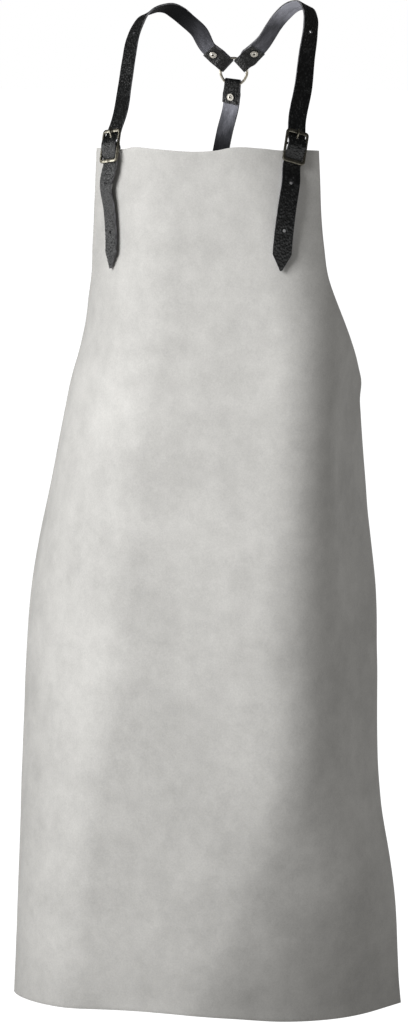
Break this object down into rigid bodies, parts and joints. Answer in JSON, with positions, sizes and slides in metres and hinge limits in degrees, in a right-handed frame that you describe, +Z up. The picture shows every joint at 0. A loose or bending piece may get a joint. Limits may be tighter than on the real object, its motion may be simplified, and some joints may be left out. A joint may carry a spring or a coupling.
{
  "type": "leather apron",
  "caption": "Full-length bib apron of pale split leather in its worn form, on black leather shoulder straps with centre-bar buckles that join a back strap at a ring, with a waist strap.",
  "frame": {"origin": "midway between the two shoulder crests of the straps, where the apron hangs on the wearer", "axes": "+X to the viewer's right of the front, +Y from the front of the apron to the wearer's back, +Z up along its length"},
  "size_m": [0.4622, 0.2606, 1.2055],
  "materials": {
    "pale_leather": "matte split leather with a short soft nap",
    "black_leather": "pebbled black grain with a low sheen",
    "nickel": "worn nickel plate"
  },
  "bodies": {
    "root": {"apron_body": "pale_leather", "shoulder_strap_right": "black_leather", "shoulder_strap_left": "black_leather", "chape_right": "black_leather", "chape_left": "black_leather", "back_strap": "black_leather", "waist_strap": "black_leather", "buckle_frame_right": "nickel", "buckle_frame_left": "nickel", "buckle_tongue_right": "nickel", "buckle_tongue_left": "nickel", "bib_rivet_right": "nickel", "bib_rivet_left": "nickel", "back_ring": "nickel", "ring_rivet_right": "nickel", "ring_rivet_left": "nickel", "ring_rivet_lower": "nickel", "back_strap_rivet": "nickel"}
  },
  "joints": []
}
